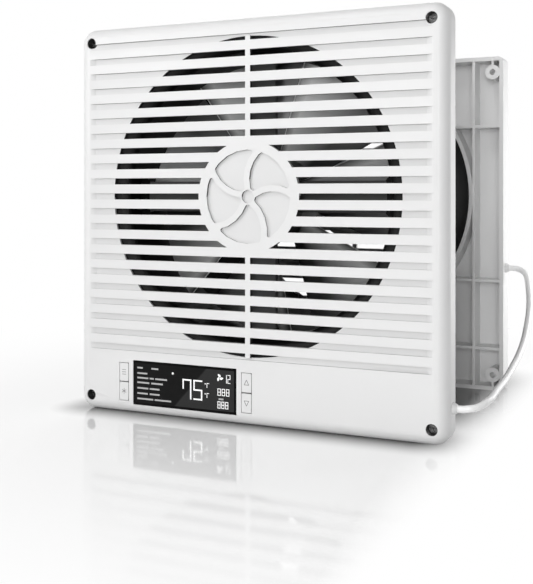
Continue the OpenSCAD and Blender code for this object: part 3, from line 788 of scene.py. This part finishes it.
display = {
    "markOut": 0.04 * mm,
    "markIn": 0.1 * mm,
    # from its left and top to its right and bottom, as shares of the window; gap is the space
    # after a digit, as a share of the distance from digit to digit
    "numbers": [
        {"digits": "75", "from": (0.49, 0.32), "to": (0.68, 0.76),
         "stroke": 0.95 * mm, "gap": 0.19},
        {"digits": "12", "from": (0.885, 0.15), "to": (0.945, 0.335),
         "stroke": 0.42 * mm, "gap": 0.22},
        {"digits": "888", "from": (0.825, 0.46), "to": (0.935, 0.615),
         "stroke": 0.42 * mm, "gap": 0.24},
        {"digits": "888", "from": (0.825, 0.74), "to": (0.925, 0.895),
         "stroke": 0.42 * mm, "gap": 0.24},
    ],
    # plain bars: how far down the window each row is, and its stretches across it
    "bars": [
        (0.157, [(0.04, 0.094), (0.182, 0.25)]),
        (0.28, [(0.04, 0.14)]),
        (0.383, [(0.04, 0.15), (0.165, 0.205), (0.22, 0.337)]),
        (0.49, [(0.04, 0.16), (0.18, 0.296)]),
        (0.615, [(0.04, 0.15), (0.165, 0.263)]),
        (0.735, [(0.04, 0.145), (0.165, 0.263)]),
        (0.855, [(0.04, 0.2), (0.215, 0.377)]),
        (0.69, [(0.835, 0.88)]),
    ],
    "barHeight": 0.036,
    "degrees": [(0.708, 0.385), (0.708, 0.605)],
    "degreeRadius": 0.42 * mm,
    "degreeSides": 12,
    # left, right, top and bottom of the corner that follows each degree mark
    "degreeTails": [(0.722, 0.745, 0.365, 0.47), (0.722, 0.745, 0.585, 0.69)],
    "tailStroke": 0.4 * mm,
    "dot": (0.394, 0.222),
    "dotRadius": 0.75 * mm,
}
smallFan = {
    "middle": (0.845, 0.225),
    "radius": 2.6 * mm,
    "blades": 3,
    "turn": 200,               # degrees to the first blade's foot
    "bend": 38,                # degrees that a blade bends from the middle to its tip
    "foot": 0.12,              # where a blade starts, as a share of the radius
    "halfWidth": 0.3,
    "halfEdge": 0.04,          # what is left of the width at the tip
    "steps": 9,
}
segments = {                   # which of the seven strokes each digit lights
    "1": "bc", "2": "abged", "5": "afgcd", "7": "fabc", "8": "abcdefg",
}


def slab(outline, front, back):
    # A flat outline in X and Z, given in order, as a closed slab between two places along Y
    outline = np.asarray(outline, float)
    count = len(outline)
    points = np.vstack([np.column_stack([outline[:, 0], np.full(count, y), outline[:, 1]])
                        for y in (front, back)])
    here = np.arange(count)
    there = (here + 1) % count
    walls = np.stack([here, there, there + count, here + count], axis=-1)
    return points, [here.tolist(), (here + count)[::-1].tolist(), *walls.tolist()]


def box2(x0, x1, z0, z1):
    return [(x0, z0), (x1, z0), (x1, z1), (x0, z1)]


def disc2(x, z, radius, sides=16):
    angle = np.linspace(0, 2 * np.pi, sides, endpoint=False)
    return np.column_stack([x + radius * np.cos(angle), z + radius * np.sin(angle)])


def onWindow(u, v):
    # A share of the window across and down becomes a place in X and Z
    x, z = window["middle"]
    return (x + (u - 0.5) * window["width"], z - (v - 0.5) * window["height"])


def windowBox(u0, u1, v0, v1):
    # Left, right, bottom and top of a stretch of the window
    (x0, z1), (x1, z0) = onWindow(u0, v0), onWindow(u1, v1)
    return x0, x1, z0, z1


def digitOutlines(digit, x0, x1, z0, z1, stroke):
    middle, half = (z0 + z1) / 2, stroke / 2
    strokes = {
        "a": (x0, x1, z1 - stroke, z1), "d": (x0, x1, z0, z0 + stroke),
        "g": (x0, x1, middle - half, middle + half),
        "f": (x0, x0 + stroke, middle, z1), "e": (x0, x0 + stroke, z0, middle),
        "b": (x1 - stroke, x1, middle, z1), "c": (x1 - stroke, x1, z0, middle),
    }
    return [box2(*strokes[letter]) for letter in segments[digit]]


def numberOutlines(number):
    (u0, v0), (u1, v1) = number["from"], number["to"]
    x0, x1, z0, z1 = windowBox(u0, u1, v0, v1)
    pitch = (x1 - x0) / (len(number["digits"]) - number["gap"])
    outlines = []
    for place, digit in enumerate(number["digits"]):
        left = x0 + place * pitch
        right = left + pitch * (1 - number["gap"])
        outlines += digitOutlines(digit, left, right, z0, z1, number["stroke"])
    return outlines


def bladeOutline(setup, turn):
    # A leaf whose middle line turns evenly as it goes out, with a half width of a sine
    out = np.linspace(setup["foot"], 1, setup["steps"])
    angle = np.radians(turn + setup["bend"] * out)
    radius = setup["radius"]
    half = setup["halfWidth"] * radius * np.sin(np.pi * out) + setup["halfEdge"] * radius
    line = np.column_stack([out * radius * np.cos(angle), out * radius * np.sin(angle)])
    line = line + np.array(onWindow(*setup["middle"]))
    square = np.column_stack([-np.sin(angle), np.cos(angle)]) * half[:, None]
    return np.vstack([line + square, (line - square)[::-1]])


def makeMarks(name, outlines, finish):
    front, back = lensLow.y - display["markOut"], lensLow.y + display["markIn"]
    made = meshObject(name, *joined([slab(outline, front, back) for outline in outlines]))
    fitPiece(made, "front_unit", "display_glass", finishes[finish])


def makeDisplayMarks(setup, icon):
    lit, rows = [], []
    for number in setup["numbers"]:
        lit += numberOutlines(number)
    halfBar = setup["barHeight"] / 2
    for v, stretches in setup["bars"]:
        rows += [box2(*windowBox(u0, u1, v - halfBar, v + halfBar)) for u0, u1 in stretches]
    for place in setup["degrees"]:
        lit.append(disc2(*onWindow(*place), setup["degreeRadius"], setup["degreeSides"]))
    for tail in setup["degreeTails"]:
        x0, x1, z0, z1 = windowBox(*tail)
        lit.append(box2(x0, x0 + setup["tailStroke"], z0, z1))
        lit.append(box2(x0, x1, z1 - setup["tailStroke"], z1))
    for index in range(icon["blades"]):
        lit.append(bladeOutline(icon, icon["turn"] + index * 360 / icon["blades"]))
    lit.append(disc2(*onWindow(*setup["dot"]), setup["dotRadius"]))
    makeMarks("displayDigits", lit, "litMark")
    makeMarks("displayRows", rows, "rowMark")


makeDisplayMarks(display, smallFan)
print("display drawn")


# Signs on the keys

keys = {
    "signs": {"menu_button": "lines", "mode_button": "star",
              "up_button": "up", "down_button": "down"},
    "bodies": {"menu_button": "menu_key", "mode_button": "mode_key",
               "up_button": "up_key", "down_button": "down_key"},
    "edge": 0.45 * mm,         # rounding of the keys themselves
    "size": 1.9 * mm,          # half the height of a sign
    "line": 0.3 * mm,
    "proud": 0.03 * mm,
    "deep": 0.1 * mm,
    "lineShare": 0.8,          # half a line, and the step from line to line, as a share of size
    "starTurns": (30, 90, 150),
    "arrowHalf": 0.85,         # half width of an arrow, and how far its foot is from the middle
    "arrowFoot": 0.7,
}


def stroke2(start, end, width):
    # A straight stroke as the outline of a thin box in X and Z
    start, end = np.asarray(start, float), np.asarray(end, float)
    side = np.array([start[1] - end[1], end[0] - start[0]])
    side *= width / 2 / np.linalg.norm(side)
    return [start - side, end - side, end + side, start + side]


def signStrokes(sign, setup):
    size = setup["size"]
    if sign == "lines":
        half = size * setup["lineShare"]
        return [((-half, z), (half, z)) for z in (-half, 0, half)]
    if sign == "star":
        turns = [math.radians(turn) for turn in setup["starTurns"]]
        ends = [(size * math.cos(turn), size * math.sin(turn)) for turn in turns]
        return [((-x, -z), (x, z)) for x, z in ends]
    tip = 1 if sign == "up" else -1
    half, foot = size * setup["arrowHalf"], -tip * size * setup["arrowFoot"]
    corners = [(0, tip * size), (-half, foot), (half, foot)]
    return [(corners[k], corners[(k + 1) % 3]) for k in range(3)]


def makeSign(name, setup):
    low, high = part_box(name)
    middle = np.array([(low.x + high.x) / 2, (low.z + high.z) / 2])
    parts = [slab(stroke2(middle + start, middle + end, setup["line"]),
                  low.y - setup["proud"], low.y + setup["deep"])
             for start, end in signStrokes(setup["signs"][name], setup)]
    made = meshObject(name.split("_")[0] + "Sign", *joined(parts))
    fitPiece(made, setup["bodies"][name], "key_plastic", finishes["signInk"])


for name in keys["signs"]:
    makeSign(name, keys)
print("key signs made")


# Moulded covers and keys: a copy of each solid with small rounded edges

rounding = {
    "merge": 1e-6,
    "flat": 0.5,               # faces that meet at less, in degrees, become one
    "smooth": 20,              # below this angle the shading runs on
    "corner": 32,              # above this angle an edge is rounded
    "segments": 2,
}
covers = {
    "frontCover": {"node": "front_cover", "body": "front_unit", "edge": 0.35 * mm},
    "rearCover": {"node": "rear_cover", "body": "rear_unit", "edge": 0.3 * mm},
}
for name, body in keys["bodies"].items():
    covers[name.split("_")[0] + "Key"] = {"node": name, "body": body, "edge": keys["edge"]}


def roundedCopy(name, setup):
    node = nodes[setup["node"]]
    made = node.copy()
    made.data = node.data.copy()
    made.name = name
    made.parent = None
    for key in [key for key in made.keys() if key.startswith("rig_")]:
        del made[key]
    scene.collection.objects.link(made)
    work = bmesh.new()
    work.from_mesh(made.data)
    bmesh.ops.remove_doubles(work, verts=work.verts, dist=rounding["merge"])
    bmesh.ops.dissolve_limit(work, angle_limit=math.radians(rounding["flat"]),
                             verts=work.verts, edges=work.edges)
    work.to_mesh(made.data)
    work.free()
    made.data.polygons.foreach_set("use_smooth", np.ones(len(made.data.polygons), bool))
    made.data.set_sharp_from_angle(angle=math.radians(rounding["smooth"]))
    bevel = made.modifiers.new("edge", "BEVEL")
    bevel.width = setup["edge"]
    bevel.segments = rounding["segments"]
    bevel.limit_method = "ANGLE"
    bevel.angle_limit = math.radians(rounding["corner"])
    bevel.harden_normals = True
    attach(made, setup["body"])
    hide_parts(setup["node"])


for name, setup in covers.items():
    roundedCopy(name, setup)
print("covers rounded")
